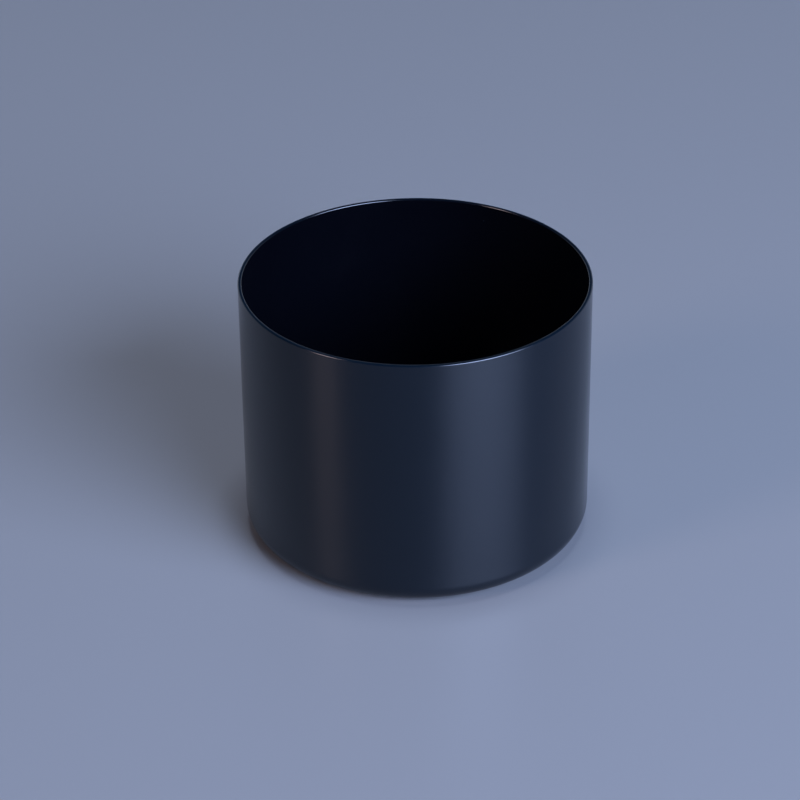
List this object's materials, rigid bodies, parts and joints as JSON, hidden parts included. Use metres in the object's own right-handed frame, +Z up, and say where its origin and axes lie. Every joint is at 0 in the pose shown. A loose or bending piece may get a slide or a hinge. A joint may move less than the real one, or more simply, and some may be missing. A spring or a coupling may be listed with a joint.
{
  "type": "empty candle jar",
  "caption": "Straight-sided round metal candle cup with a rounded base corner, open mouth and a thin rubber disc underneath.",
  "frame": {"origin": "on the jar's axis, on the surface that it stands on, under the rubber disc", "axes": "+Z up along the axis of revolution, towards the mouth; X and Y are any two square directions"},
  "size_m": [0.09, 0.09, 0.0705],
  "materials": {
    "black_lacquer": "satin baked lacquer outside, gloss inside, on drawn aluminium sheet",
    "black_rubber": "matt die-cut sheet"
  },
  "bodies": {
    "root": {"jar_shell": "black_lacquer", "base_disc": "black_rubber"}
  },
  "joints": []
}
